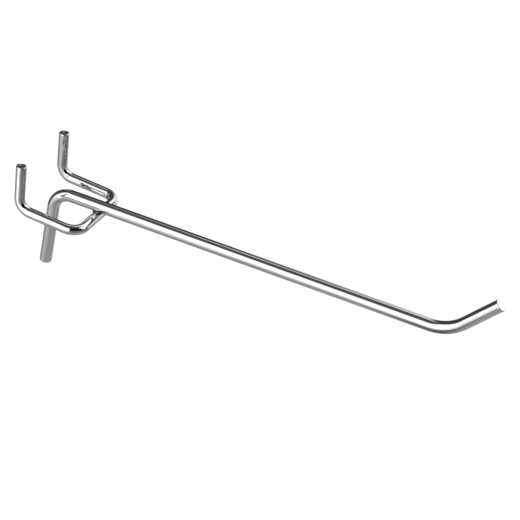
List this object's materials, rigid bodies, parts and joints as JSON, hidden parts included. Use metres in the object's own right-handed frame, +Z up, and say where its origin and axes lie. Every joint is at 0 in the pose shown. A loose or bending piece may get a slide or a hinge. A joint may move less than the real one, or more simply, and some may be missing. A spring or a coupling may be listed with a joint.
{
  "type": "pegboard hook",
  "caption": "Bright wire hook for a perforated board: upright pegs on a U-shaped wire, welded under a long arm with an upturned tip and a leg that rests on the board.",
  "frame": {"origin": "on the board's front face, midway between the two peg holes, at the height of the runs that pass through them", "axes": "X along the board, -Y out of the board's front face along the arm, Z up the board"},
  "size_m": [0.0286, 0.1498, 0.0513],
  "materials": {
    "arm_wire": "bright plated wire",
    "peg_wire": "bright plated wire",
    "weld_ring": "plated weld metal, slightly rough"
  },
  "bodies": {
    "root": {"arm_wire": "arm_wire", "peg_wire": "peg_wire", "weld_ring": "weld_ring"}
  },
  "joints": []
}
